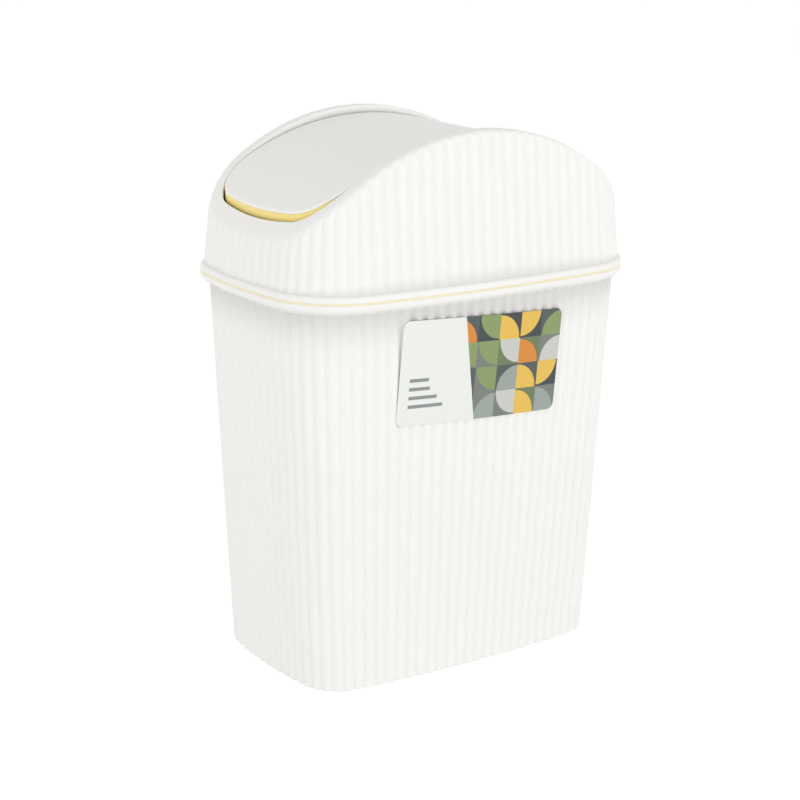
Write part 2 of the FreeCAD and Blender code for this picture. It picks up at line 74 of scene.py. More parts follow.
# Ribs: how many there are all round, how deep they are, and where a rib's crest turns into the valley
RIBS = 88
RIB_DEPTH = 1.0 * MM
VALLEY_START = 0.86
COLUMNS_PER_RIB = 14

# How finely the surfaces are divided: points along each part of a profile, scales of the rings that
# close a flat face, and rounds of substitution where the lid's wall meets its top
EDGE_STEPS = 5
BUCKET_WALL_STEPS = 9
BUCKET_BEAD_STEPS = 12
BUCKET_INSIDE_STEPS = 7
FLOOR_STEPS = 8
CLOSING_SCALES = (0.04, 0.4, 0.75)
LID_BEAD_STEPS = 9
LID_WALL_STEPS = 8
SHOULDER_STEPS = 18
LIP_STEPS = 9
LID_TOP_STEPS = 7
CEILING_STEPS = 6
MEETING_ROUNDS = 30
PANEL_EDGE_STEPS = 9
TURNED_COLUMNS = 48
ROUND_END_STEPS = 33
STRAIGHT_STEPS = 9
PLATE_FACE_SCALE = 0.9
LABEL_COLUMNS = 241
LABEL_ROWS = 65
LABEL_CORNER_STEPS = 9

# Bucket
WALL = 1.1 * MM
SHELL = RIB_DEPTH + WALL
RIM_OVERHANG = 3.5 * MM
RIM_HEIGHT = 3.5 * MM
RIM_EDGE = 0.3 * MM
RIM_FILLET = 1.2 * MM
FLOOR = 3.4 * MM
FLOOR_ROUND = 4.0 * MM
FOOT_WIDTH = 5.0 * MM
FOOT_RECESS = 1.6 * MM
EDGE = 0.3 * MM
SEAM_EDGE = 0.12 * MM

# Bag ring and lid flange: insets from the flange's outline, walls, edges, and heights above the seat
RING_INSET = 0.05 * MM
RING_EDGE = 0.1 * MM
RING_HOLE = 7.82 * MM
RING_WALL = 1.3 * MM
LID_SKIRT = 8.22 * MM
LID_THROAT = 9.32 * MM
LID_PLATE = 1.6 * MM
LID_EDGE = 0.8 * MM
LID_BEAD = 2.5 * MM
LID_BEAD_END_DEGREES = 95

# Lid wall, arched top and opening
LID_SETBACK = 1.3 * MM
LID_DRAFT = math.radians(5.6)
DOME_RISE = 47.8 * MM
DOME_RADIUS = ((FLANGE_LENGTH / 2) ** 2 + DOME_RISE ** 2) / (2 * DOME_RISE)
DOME_CENTRE = CREST - DOME_RADIUS
DOME_THICKNESS = 1.8 * MM
SIDE_ROUND = 3.0 * MM
END_ROUND = 13.0 * MM
RIB_FADE = 0.1 * MM
RIB_BLEND = 0.12 * MM
END_LIP = 9.5 * MM
SIDE_LIP = 14.2 * MM
OPENING_CORNER = 19.5 * MM
OPENING_BOW = 3000.0 * MM
LIP_ROUND = 0.5 * MM
LIP_DEPTH = 3.5 * MM
END_LIP_DEPTH = 7.0 * MM
LIP_WALL = 1.0 * MM
LIP_LEAN = math.radians(12)

# Flap: cover over liner, arched a little flatter than the lid, so that the flap's ends stand proud of it
FLAP_PROUD = 3.1 * MM
DOME_FALL = DOME_RADIUS - math.sqrt(DOME_RADIUS ** 2 - cover_high.x ** 2)
FLAP_DROP = DOME_FALL - (CREST - cover_high.z) - FLAP_PROUD
COVER_RADIUS = (cover_high.x ** 2 + FLAP_DROP ** 2) / (2 * FLAP_DROP)
FLAP_CENTRE = cover_high.z - COVER_RADIUS
COVER_THICKNESS = 1.0 * MM
COVER_CORNER = 18.5 * MM
COVER_ROUND = 0.8 * MM
LINER_RADIUS = COVER_RADIUS - COVER_THICKNESS
LINER_THICKNESS = 2.0 * MM
LINER_CORNER = 18.4 * MM
LINER_ROUND = 0.3 * MM
LINER_RIM = 3.6 * MM
LINER_RIM_WALL = 1.4 * MM
LAYER_GAP = 0.02 * MM
FLAP_COLUMNS = 480
GATE_RADIUS = 1.0 * MM
GATE_DEPTH = 0.25 * MM
PEG_X = 46.0 * MM
PEG_Y = 24.0 * MM
PEG_RADIUS = 1.6 * MM
PEG_PROUD = 0.8 * MM
CHEEK_RADIUS = 5.5 * MM
CHEEK_THICKNESS = 2.0 * MM
CHEEK_INSET = 0.4 * MM
BOSS_RADIUS = 5.0 * MM
BOSS_GAP = 0.4 * MM
BOSS_LENGTH = 5.6 * MM
BORE_RADIUS = 2.56 * MM
BORE_DEPTH = 4.9 * MM
WEB_THICKNESS = 2.0 * MM
WEB_LENGTH = 4.0 * MM

# Label
LABEL_LENGTH = 80.3 * MM
LABEL_WIDTH = 43.8 * MM
LABEL_CORNER = 3.0 * MM
LABEL_X = -1.4 * MM
LABEL_MARGIN = 7.7 * MM
LABEL_TILT = math.radians(-2.8)
LABEL_GAP = 0.1 * MM
LABEL_THICKNESS = 0.25 * MM
LABEL_RIPPLE = 0.06 * MM

# Camera, fitted to the outline of the object in the photograph
VIEW_AZIMUTH = math.radians(-34.421)
VIEW_ELEVATION = math.radians(15.674)
VIEW_ROLL = math.radians(0.671)
VIEW_DISTANCE = 832.68 * MM
VIEW_RIGHT = -5.057 * MM
VIEW_HEIGHT = 106.607 * MM
FOCAL_PIXELS = 1912.14
IMAGE_PIXELS = 800
SENSOR_MM = 36.0


def outline(length, width, side_bow, end_bow, corner):
    """Nine tangent arcs of a bowed rounded rectangle, from the middle of the front side round.

    Each row is centre x, centre y, radius, start angle and end angle. A corner's centre is where a circle
    about the side's centre meets a circle about the end's centre, each smaller than its bow by the corner.
    """
    side_y = width / 2 - side_bow
    end_x = length / 2 - end_bow
    from_side = side_bow - corner
    from_end = end_bow - corner
    span = math.hypot(end_x, side_y)
    along = (from_side ** 2 - from_end ** 2 + span ** 2) / (2 * span)
    off = math.sqrt(from_side ** 2 - along ** 2)
    corner_x = (end_x * along - side_y * off) / span
    corner_y = side_y - (side_y * along + end_x * off) / span
    alpha = math.atan2(corner_x, corner_y - side_y)
    beta = math.atan2(corner_y, corner_x - end_x)
    square = math.pi / 2
    return np.array([
        (0, -side_y, side_bow, -square, -square + alpha),
        (corner_x, -corner_y, corner, -square + alpha, -beta),
        (end_x, 0, end_bow, -beta, beta),
        (corner_x, corner_y, corner, beta, square - alpha),
        (0, side_y, side_bow, square - alpha, square + alpha),
        (-corner_x, corner_y, corner, square + alpha, 2 * square - beta),
        (-end_x, 0, end_bow, 2 * square - beta, 2 * square + beta),
        (-corner_x, -corner_y, corner, 2 * square + beta, 3 * square - alpha),
        (0, -side_y, side_bow, 3 * square - alpha, 3 * square),
    ])


def stations(arcs, columns):
    """Arc number and place along it of stations that share the outline's length evenly."""
    lengths = arcs[:, 2] * (arcs[:, 4] - arcs[:, 3])
    ends = np.cumsum(lengths)
    distance = np.arange(columns) / columns * ends[-1]
    number = np.minimum(np.searchsorted(ends, distance, side="right"), len(arcs) - 1)
    return number, (distance - (ends - lengths)[number]) / lengths[number]


def trace(arcs, number, place):
    """Plan points and outward unit normals of an outline at given stations."""
    centre_x, centre_y, radius, start, end = arcs[number].T
    angle = start + place * (end - start)
    normal = np.stack([np.cos(angle), np.sin(angle)], axis=-1)
    return np.stack([centre_x, centre_y], axis=-1) + radius[:, None] * normal, normal


def arch(x, radius, centre=DOME_CENTRE):
    """Height of an arched surface: a circle of that radius above the dome's centre or the flap's."""
    return centre + np.sqrt(radius ** 2 - x ** 2)


def arch_slope(x, radius):
    """Fall of such a surface per unit of x."""
    return x / np.sqrt(radius ** 2 - x ** 2)


def rings(points, heights):
    """Rings of plan points with a height for each point, or one for each ring, as rows of x, y, z."""
    heights = np.broadcast_to(heights, points.shape[:-1])
    return np.concatenate([points, heights[..., None]], axis=-1)


def rounded_turn(corner, height, heading, before, after, radius, steps):
    """Rings round a corner: along heading in plan, first at the angle before, then at the angle after.

    The corner between the two straight lines is replaced by an arc. It touches each line at radius times
    the tangent of half the turn from the corner, and its points lie one radius from its centre, on the
    outward normal of the direction of travel, which turns evenly.
    """
    share = np.linspace(0, 1, steps)[:, None]
    reach = radius * np.tan((before - after) / 2)
    centre_s = -reach * np.cos(before) + radius * np.sin(before)
    centre_z = -reach * np.sin(before) - radius * np.cos(before)
    angle = before + share * (after - before)
    travel = centre_s - radius * np.sin(angle)
    rise = centre_z + radius * np.cos(angle)
    return rings(corner + heading * travel[..., None], height + rise)


def surface(name, rows, closed=False, poles=(None, None)):
    """A mesh from rings of points, each joined to the next by quads.

    The last ring joins the first if the surface is closed. A pole is a point that closes the first or the
    last ring with triangles. Rings run anticlockwise from above, and their order gives the outer side.
    """
    count, columns = rows.shape[:2]
    points = [rows.reshape(-1, 3)]
    index = np.arange(count * columns).reshape(count, columns)
    lower = index if closed else index[:-1]
    upper = np.roll(index, -1, axis=0) if closed else index[1:]
    quads = np.stack([lower, np.roll(lower, -1, axis=1), np.roll(upper, -1, axis=1), upper], axis=-1)
    triangles = []
    for pole, ring, turn in ((poles[0], index[0], -1), (poles[1], index[-1], 1)):
        if pole is not None:
            tip = np.full(columns, sum(len(part) for part in points))
            pair = (ring, np.roll(ring, -1))[::turn]
            triangles.append(np.stack([tip, *pair], axis=-1))
            points.append(np.array([pole]))
    return mesh_piece(name, np.concatenate(points), quads.reshape(-1, 4), triangles)


def mesh_piece(name, points, quads, triangles=()):
    """An object at the origin from arrays of points, quads and triangles, with smooth shading."""
    corners = np.concatenate([quads.ravel(), *[part.ravel() for part in triangles]])
    sizes = np.concatenate([np.full(len(quads), 4), *[np.full(len(part), 3) for part in triangles]])
    starts = np.cumsum(sizes) - sizes
    mesh = bpy.data.meshes.new(name)
    mesh.vertices.add(len(points))
    mesh.vertices.foreach_set("co", points.astype(np.float32).ravel())
    mesh.loops.add(len(corners))
    mesh.loops.foreach_set("vertex_index", corners.astype(np.int32))
    mesh.polygons.add(len(starts))
    mesh.polygons.foreach_set("loop_start", starts.astype(np.int32))
    mesh.polygons.foreach_set("use_smooth", np.ones(len(starts), dtype=bool))
    mesh.update(calc_edges=True)
    mesh.validate()
    piece = bpy.data.objects.new(name, mesh)
    bpy.context.scene.collection.objects.link(piece)
    return piece


def dress(piece, body, material, slot, *replaced):
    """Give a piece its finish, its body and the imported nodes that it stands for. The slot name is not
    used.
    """
    piece.data.materials.clear()
    piece.data.materials.append(material)
    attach(piece, body)
    if replaced:
        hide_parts(*replaced)


# Stations round the ribbed shells: crests at whole ribs, valleys half-way between
RIB_COLUMNS = RIBS * COLUMNS_PER_RIB
flange_arcs = outline(FLANGE_LENGTH, FLANGE_WIDTH, SIDE_BOW, END_BOW, FLANGE_CORNER)
flange_stations = stations(flange_arcs, RIB_COLUMNS)
flange_points, flange_normals = trace(flange_arcs, *flange_stations)


def rib_groove():
    """Depth at each station as a share of the rib's depth: 0 on a crest, 1 in a valley.

    A rib is a parabola across its width, as an arc is when it is shallow. Past VALLEY_START of the way to
    the valley it turns into a second parabola, level in the valley, so that valleys are rounded too.
    """
    turn = np.arange(RIB_COLUMNS) / COLUMNS_PER_RIB
    way = 2 * np.abs(turn - np.round(turn))
    start = VALLEY_START
    valley = start - (1 - way) ** 2 * start / (1 - start)
    return np.where(way < start, way ** 2, valley) / start


GROOVE = rib_groove()


def flange_rings(profile):
    """Smooth rings at pairs of inset from the flange's outline and height."""
    inset, height = np.array(profile).T
    plan = flange_points - flange_normals * inset[:, None, None]
    return rings(plan, height[:, None])


def quarter(inset, height, reach, rise, start, end, steps=EDGE_STEPS):
    """Pairs of inset and height on an ellipse's quarter about a centre, between two angles in degrees."""
    angle = np.radians(np.linspace(start, end, steps))
    return list(zip(inset + reach * np.cos(angle), height + rise * np.sin(angle)))


# Bucket


def bucket_rings(rows):
    """Rings of the bucket at rows of height share, height, inset, rib share and plan scale.

    The height share slides the outline along straight lines from the foot to the seam. The inset, and the
    rib's depth times the rib share, move it in along the normal. The plan scale draws it to the middle.
    """
    share, height, inset, rib, scale = (column[:, None] for column in np.array(rows).T)
    overhang = RIM_OVERHANG
    base = outline(BASE_LENGTH, BASE_WIDTH, SIDE_BOW, END_BOW, BASE_CORNER)
    top = outline(
        FLANGE_LENGTH - 2 * overhang,
        FLANGE_WIDTH - 2 * overhang,
        SIDE_BOW - overhang,
        END_BOW - overhang,
        FLANGE_CORNER - overhang,
    )
    base_points, base_normals = trace(base, *stations(base, RIB_COLUMNS))
    top_points, top_normals = trace(top, *stations(top, RIB_COLUMNS))
    plan = base_points + share[..., None] * (top_points - base_points)
    normal = base_normals + share[..., None] * (top_normals - base_normals)
    depth = inset + rib * RIB_DEPTH * GROOVE
    return rings((plan - normal * depth[..., None]) * scale[..., None], height)


def profile_rows(share, profile, rib=0):
    """Rows for bucket_rings at pairs of inset and height, with one height share and one rib share."""
    return [(share, height, inset, rib, 1) for inset, height in profile]


def make_bucket():
    """Bucket: one profile from the middle of the underside, up the ribs, over the rim and down inside."""
    rim_foot = SEAM - RIM_HEIGHT
    inner_foot = FLOOR + FLOOR_ROUND
    inner = SHELL + FLOOR_ROUND
    under = FOOT_WIDTH + 2 * EDGE
    rows = [(0, FOOT_RECESS, under, 0, scale) for scale in CLOSING_SCALES]
    rows += profile_rows(0, quarter(under, FOOT_RECESS - EDGE, EDGE, EDGE, 90, 180))
    rows += profile_rows(0, quarter(FOOT_WIDTH, EDGE, EDGE, EDGE, 0, -90))
    rows += profile_rows(0, [(FOOT_WIDTH / 2, 0)])
    rows += profile_rows(0, [(EDGE * 2, 0)], rib=1)
    rows += profile_rows(0, quarter(EDGE, EDGE, EDGE, EDGE, -90, -180), rib=1)
    wall = np.linspace(EDGE, rim_foot - RIM_FILLET, BUCKET_WALL_STEPS)
    rows += [(z / SEAM, z, 0, 1, 1) for z in wall[1:]]

    # Over the fillet under the rim the ribs fade out
    fillet = quarter(-RIM_FILLET, rim_foot - RIM_FILLET, RIM_FILLET, RIM_FILLET, 0, 90)
    rows += [(1, z, s, 1 - i / (EDGE_STEPS - 1), 1) for i, (s, z) in enumerate(fillet)]
    bead_reach = RIM_OVERHANG - RIM_FILLET
    bead_rise = RIM_HEIGHT - RIM_EDGE
    bead = quarter(-RIM_FILLET, SEAM - RIM_EDGE, bead_reach, bead_rise, -90, -180, BUCKET_BEAD_STEPS)
    rows += profile_rows(1, bead[1:])
    rim_top = quarter(SEAM_EDGE - RIM_OVERHANG, SEAM - SEAM_EDGE, SEAM_EDGE, SEAM_EDGE, 180, 90)
    rows += profile_rows(1, rim_top)

    rows += profile_rows(1, quarter(SHELL - EDGE, SEAM - EDGE, EDGE, EDGE, 90, 0))
    inside = np.linspace(SEAM - 2 * EDGE, inner_foot, BUCKET_INSIDE_STEPS)
    rows += [(z / SEAM, z, SHELL, 0, 1) for z in inside]
    cove = quarter(inner, inner_foot, FLOOR_ROUND, FLOOR_ROUND, 180, 270, FLOOR_STEPS)
    rows += [(z / SEAM, z, s, 0, 1) for s, z in cove[1:]]
    rows += [(FLOOR / SEAM, FLOOR, inner, 0, scale) for scale in CLOSING_SCALES[::-1]]
    return surface("bucket_shell", bucket_rings(rows), poles=((0, 0, FOOT_RECESS), (0, 0, FLOOR)))


# Bag ring


def make_bag_ring():
    """Bag ring: a plate on the bucket's rim with a skirt inside its mouth, as one closed profile."""
    skirt = RING_HOLE - RING_WALL
    turn = RING_EDGE
    profile = quarter(RING_INSET + turn, SEAM + turn, turn, turn, 270, 180)
    profile += quarter(RING_INSET + turn, ring_high.z - turn, turn, turn, 180, 90)
    profile += quarter(RING_HOLE - EDGE, ring_high.z - EDGE, EDGE, EDGE, 90, 0)
    profile += quarter(RING_HOLE - EDGE, ring_low.z + EDGE, EDGE, EDGE, 0, -90)
    profile += quarter(skirt + EDGE, ring_low.z + EDGE, EDGE, EDGE, 270, 180)
    profile += quarter(skirt - EDGE, SEAM - EDGE, EDGE, EDGE, 0, 90)
    return surface("bag_ring_moulded", flange_rings(profile), closed=True)


# Lid


def smooth_max(first, second, width):
    """The larger of two values, with the crease between them rounded over a width."""
    return (first + second + np.sqrt((first - second) ** 2 + width ** 2)) / 2


def wall_meets_arch(setback, radius):
    """Inset and height where the lid's leaning wall meets an arched surface, by repeated substitution."""
    height = np.full(RIB_COLUMNS, CREST)
    for _ in range(MEETING_ROUNDS):
        inset = setback + (height - LID_BASE) * math.tan(LID_DRAFT)
        height = arch(flange_points[:, 0] - flange_normals[:, 0] * inset, radius)
    return inset, height


def lid_outside():
    """Rings of the lid's ribbed wall, its rounded shoulder and its arched top, as far as the opening's lip.

    The smooth envelope is the leaning wall, an arc over the shoulder and the arched top. The arc's radius
    grows from the sides to the ends. Ribs are cut by the envelope: a point lies at the larger of the two
    insets, so each rib ends in a fingertip where the shoulder turns away.
    """
    inset, edge_height = wall_meets_arch(LID_SETBACK - RIB_FADE, DOME_RADIUS)
    corner = flange_points - flange_normals * inset[:, None]
    upright = math.pi / 2 - LID_DRAFT
    level = np.arctan(flange_normals[:, 0] * arch_slope(corner[:, 0], DOME_RADIUS))
    radius = SIDE_ROUND + (END_ROUND - SIDE_ROUND) * flange_normals[:, 0] ** 2
    shoulder = rounded_turn(corner, edge_height, -flange_normals, upright, level, radius, SHOULDER_STEPS)

    # The top is arched, and the arc ends on a straight line, so the difference is blended in along the arc
    travel = ((corner - shoulder[..., :2]) * flange_normals).sum(axis=-1)
    line = edge_height + travel * np.tan(level)
    blend = np.linspace(0, 1, len(shoulder))[:, None]
    shoulder[..., 2] += blend * (arch(shoulder[..., 0], DOME_RADIUS) - line)

    foot_height = LID_BASE + LID_BEAD
    foot_inset = LID_SETBACK - RIB_FADE + LID_BEAD * math.tan(LID_DRAFT)
    foot = rings(flange_points - flange_normals * foot_inset, foot_height)
    climb = np.linspace(0, 1, LID_WALL_STEPS)[:-1, None, None]
    smooth = np.concatenate([foot + climb * (shoulder[0] - foot), shoulder])
    smooth_inset = ((flange_points - smooth[..., :2]) * flange_normals).sum(axis=-1)
    wall_inset = LID_SETBACK + (smooth[..., 2] - LID_BASE) * math.tan(LID_DRAFT)
    cut = smooth_max(smooth_inset, wall_inset + RIB_DEPTH * GROOVE, RIB_BLEND)
    return rings(flange_points - flange_normals * cut[..., None], smooth[..., 2])


def make_lid():
    """Lid: one closed profile from the skirt over the flange bead, wall, top and lip, and back inside."""
    skirt_foot = lid_low.z
    bead_start = LID_BASE + LID_EDGE
    bead_rise = LID_BEAD - LID_EDGE
    below = quarter(LID_SKIRT + EDGE, skirt_foot + EDGE, EDGE, EDGE, 270, 180)
    below += [(LID_SKIRT, LID_BASE)]
    below += quarter(SEAM_EDGE, LID_BASE + SEAM_EDGE, SEAM_EDGE, SEAM_EDGE, 270, 180)
    below += quarter(
        LID_SETBACK, bead_start, LID_SETBACK, bead_rise, 180, LID_BEAD_END_DEGREES, LID_BEAD_STEPS
    )
    outside = lid_outside()

    arcs = outline(
        FLANGE_LENGTH - 2 * END_LIP, FLANGE_WIDTH - 2 * SIDE_LIP, OPENING_BOW, END_BOW, OPENING_CORNER
    )
    edge, edge_normals = trace(arcs, *flange_stations)
    edge_height = arch(edge[:, 0], DOME_RADIUS)
    level = np.arctan(edge_normals[:, 0] * arch_slope(edge[:, 0], DOME_RADIUS))
    down = LIP_LEAN - math.pi / 2
    radius = LIP_ROUND / np.tan((level - down) / 2)
    lip = rounded_turn(edge, edge_height, -edge_normals, level, down, radius, LIP_STEPS)
    share = np.linspace(0, 1, LID_TOP_STEPS)[1:-1, None, None]
    plan = outside[-1, :, :2] + share * (lip[0, :, :2] - outside[-1, :, :2])
    top = rings(plan, arch(plan[..., 0], DOME_RADIUS))

    # Below its rounded edge the lip leans in, and it hangs deeper at the ends
    inner_radius = DOME_RADIUS - DOME_THICKNESS
    behind = edge + edge_normals * LIP_WALL
    depth = LIP_DEPTH + (END_LIP_DEPTH - LIP_DEPTH) * edge_normals[:, 0] ** 2
    lip_foot = np.minimum(edge_height - depth, arch(behind[:, 0], inner_radius) - EDGE)
    foot = edge - edge_normals * ((edge_height - lip_foot) * math.tan(LIP_LEAN))[:, None]
    lip_back = np.stack([rings(foot, lip_foot), rings(foot + edge_normals * LIP_WALL, lip_foot)])
    inner_inset, _ = wall_meets_arch(LID_SETBACK + SHELL, inner_radius)
    wall_top = flange_points - flange_normals * inner_inset[:, None]
    share = np.linspace(0, 1, CEILING_STEPS)[:, None, None]
    plan = behind + share * (wall_top - behind)
    ceiling = rings(plan, arch(plan[..., 0], inner_radius))

    plate_top = LID_BASE + LID_PLATE
    plate_inset = LID_SETBACK + SHELL + LID_PLATE * math.tan(LID_DRAFT)
    within = [(plate_inset, plate_top)]
    within += quarter(LID_THROAT - EDGE, plate_top - EDGE, EDGE, EDGE, 90, 0)
    within += quarter(LID_THROAT - EDGE, skirt_foot + EDGE, EDGE, EDGE, 0, -90)
    rows = [flange_rings(below), outside, top, lip, lip_back, ceiling, flange_rings(within)]
    return surface("lid_moulded", np.concatenate(rows), closed=True)


# Flap

# Rings of a panel, as shares of its outline: close together about the gate, and spread out from there
PANEL_SCALES = np.concatenate([np.linspace(0.002, 0.03, 8), np.linspace(0.06, 1, 24)[:-1]])


def arched_panel(name, box, corner, outer_radius, thickness, edge_round, rim, gate):
    """Arched panel in the opening: rings from the middle of the top, over a rounded edge, to the underside.

    In plan a ring is the outline scaled towards the middle, and its height is the arch at its x. The edge
    turns from the arch's slope to straight down, and a rim goes on down past the underside. The gate is
    the small dimple that moulding leaves.
    """
    low, high = box
    arcs = outline(high.x - low.x, high.y - low.y, OPENING_BOW, END_BOW, corner)
    edge, normals = trace(arcs, *stations(arcs, FLAP_COLUMNS))
    level = -np.arctan(normals[:, 0] * arch_slope(edge[:, 0], outer_radius))
    radius = edge_round / np.tan((level + math.pi / 2) / 2)
    edge_height = arch(edge[:, 0], outer_radius, FLAP_CENTRE)
    turn = rounded_turn(edge, edge_height, normals, level, -math.pi / 2, radius, PANEL_EDGE_STEPS)
    scale = PANEL_SCALES[:, None, None]
    plan = turn[0, :, :2] * scale
    distance = np.hypot(plan[..., 0], plan[..., 1]) / GATE_RADIUS
    dimple = gate * np.clip(1 - distance ** 2, 0, 1)
    top = rings(plan, arch(plan[..., 0], outer_radius, FLAP_CENTRE) - dimple)
    inner_radius = outer_radius - thickness
    foot = [(0, rim, EDGE), (EDGE, rim, 0)]
    if rim > thickness:
        wall = LINER_RIM_WALL
        foot += [(wall - EDGE, rim, 0), (wall, rim, EDGE)]
        foot += [(wall, thickness + EDGE, 0), (wall + EDGE, thickness, 0)]
    side = []
    for step, depth, lift in foot:
        ring = edge - normals * step
        side.append(rings(ring, arch(ring[:, 0], outer_radius - depth, FLAP_CENTRE) + lift))
    # The underside is plain, so it takes every third ring
    under_plan = side[-1][:, :2] * scale[::-3]
    under = rings(under_plan, arch(under_plan[..., 0], inner_radius, FLAP_CENTRE))
    rows = np.concatenate([top, turn, np.array(side), under])[::-1]
    poles = ((0, 0, FLAP_CENTRE + inner_radius), (0, 0, FLAP_CENTRE + outer_radius - gate))
    return surface(name, rows, poles=poles)


def turned(name, profile, centre, axis):
    """A turned piece: rings at pairs of radius and distance along an axis, closed by a pole at each end."""
    angle = np.linspace(0, 2 * np.pi, TURNED_COLUMNS, endpoint=False)
    radius, along = np.array(profile).T
    across = np.stack([np.cos(angle), np.sin(angle)], axis=-1)
    local = rings(radius[:, None, None] * across, along[:, None])
    tips = [(0, 0, along[0]), (0, 0, along[-1])]
    turn = np.array(axis)
    place = np.array(centre)
    return surface(name, local @ turn + place, poles=[np.array(tip) @ turn + place for tip in tips])


# Rows are where a turned piece's own x, y and length point: straight down, towards +Y and towards -Y
DOWN = ((1, 0, 0), (0, -1, 0), (0, 0, -1))
BACK = ((1, 0, 0), (0, 0, -1), (0, 1, 0))
FRONT = ((1, 0, 0), (0, 0, 1), (0, -1, 0))


def make_peg(number, x, y):
    """Peg of the cover, where it comes out under the liner: a short rod with a rounded tip."""
    start = arch(x, LINER_RADIUS, FLAP_CENTRE)
    tip = start - (arch(x, LINER_RADIUS - LINER_THICKNESS, FLAP_CENTRE) - PEG_PROUD)
    profile = [(PEG_RADIUS, 0), (PEG_RADIUS, tip - EDGE), (PEG_RADIUS - EDGE, tip)]
    return turned(f"cover_peg_{number}", profile, (x, y, start - LAYER_GAP), DOWN)


def make_boss(name, facing, side):
    """Pivot boss inside the lid: a rod from the wall to the opening, with a blind bore in its face."""
    face = side * (FLANGE_WIDTH / 2 - SIDE_LIP + BOSS_GAP)
    profile = [(BORE_RADIUS, BORE_DEPTH), (BORE_RADIUS, EDGE), (BORE_RADIUS + EDGE, 0)]
    profile += [(BOSS_RADIUS - EDGE, 0), (BOSS_RADIUS, EDGE), (BOSS_RADIUS, BOSS_LENGTH)]
    return turned(name, profile, (0, face, PIVOT), facing)


def plate(name, contour, start, thickness):
    """A flat upright piece: a contour in x and z, carried along Y from start over a thickness."""
    middle = contour.mean(axis=0)
    bevelled = 1 - EDGE / CHEEK_RADIUS
    near = [(PLATE_FACE_SCALE, 0), (bevelled, 0), (1, EDGE)]
    far = [(1, thickness - EDGE), (bevelled, thickness), (PLATE_FACE_SCALE, thickness)]
    rows = []
    for scale, depth in near + far:
        flat = middle + (contour - middle) * scale
        rows.append(np.stack([flat[:, 0], np.full(len(flat), start + depth), flat[:, 1]], axis=-1))
    poles = [(middle[0], start, middle[1]), (middle[0], start + thickness, middle[1])]
    return surface(name, np.array(rows), poles=poles)


def make_cheek(name, side):
    """Cheek under the liner that holds a pivot pin: a tongue with a round end about the pivot."""
    angle = np.linspace(-np.pi, 0, ROUND_END_STEPS)
    round_end = np.stack([CHEEK_RADIUS * np.cos(angle), PIVOT + CHEEK_RADIUS * np.sin(angle)], axis=-1)
    x = np.linspace(CHEEK_RADIUS, -CHEEK_RADIUS, STRAIGHT_STEPS)
    root = np.stack([x, arch(x, LINER_RADIUS - LINER_THICKNESS / 2, FLAP_CENTRE)], axis=-1)
    outer = liner_high.y - CHEEK_INSET
    start = outer - CHEEK_THICKNESS if side > 0 else -outer
    return plate(name, np.concatenate([round_end, root])[::-1], start, CHEEK_THICKNESS)


def make_web(name, side):
    """Web that hangs a pivot boss from the arched top: a narrow upright plate."""
    half = WEB_THICKNESS / 2
    low = PIVOT + BOSS_RADIUS / 2
    high = CREST - DOME_THICKNESS / 2
    rise = np.linspace(low, high, STRAIGHT_STEPS)
    right = np.stack([np.full(STRAIGHT_STEPS, half), rise], axis=-1)
    left = np.stack([np.full(STRAIGHT_STEPS, -half), rise[::-1]], axis=-1)
    face = FLANGE_WIDTH / 2 - SIDE_LIP + BOSS_GAP
    start = face if side > 0 else -face - WEB_LENGTH
    return plate(name, np.concatenate([right, left])[::-1], start, WEB_LENGTH)


# Label


def rib_pitch(length, width):
    """Spacing of the ribs at a length and width of the bucket: the outline's length over their count."""
    rounding = (8 - 2 * np.pi) * (BASE_CORNER + FLANGE_CORNER - RIM_OVERHANG) / 2
    return (2 * (length + width) - rounding) / RIBS


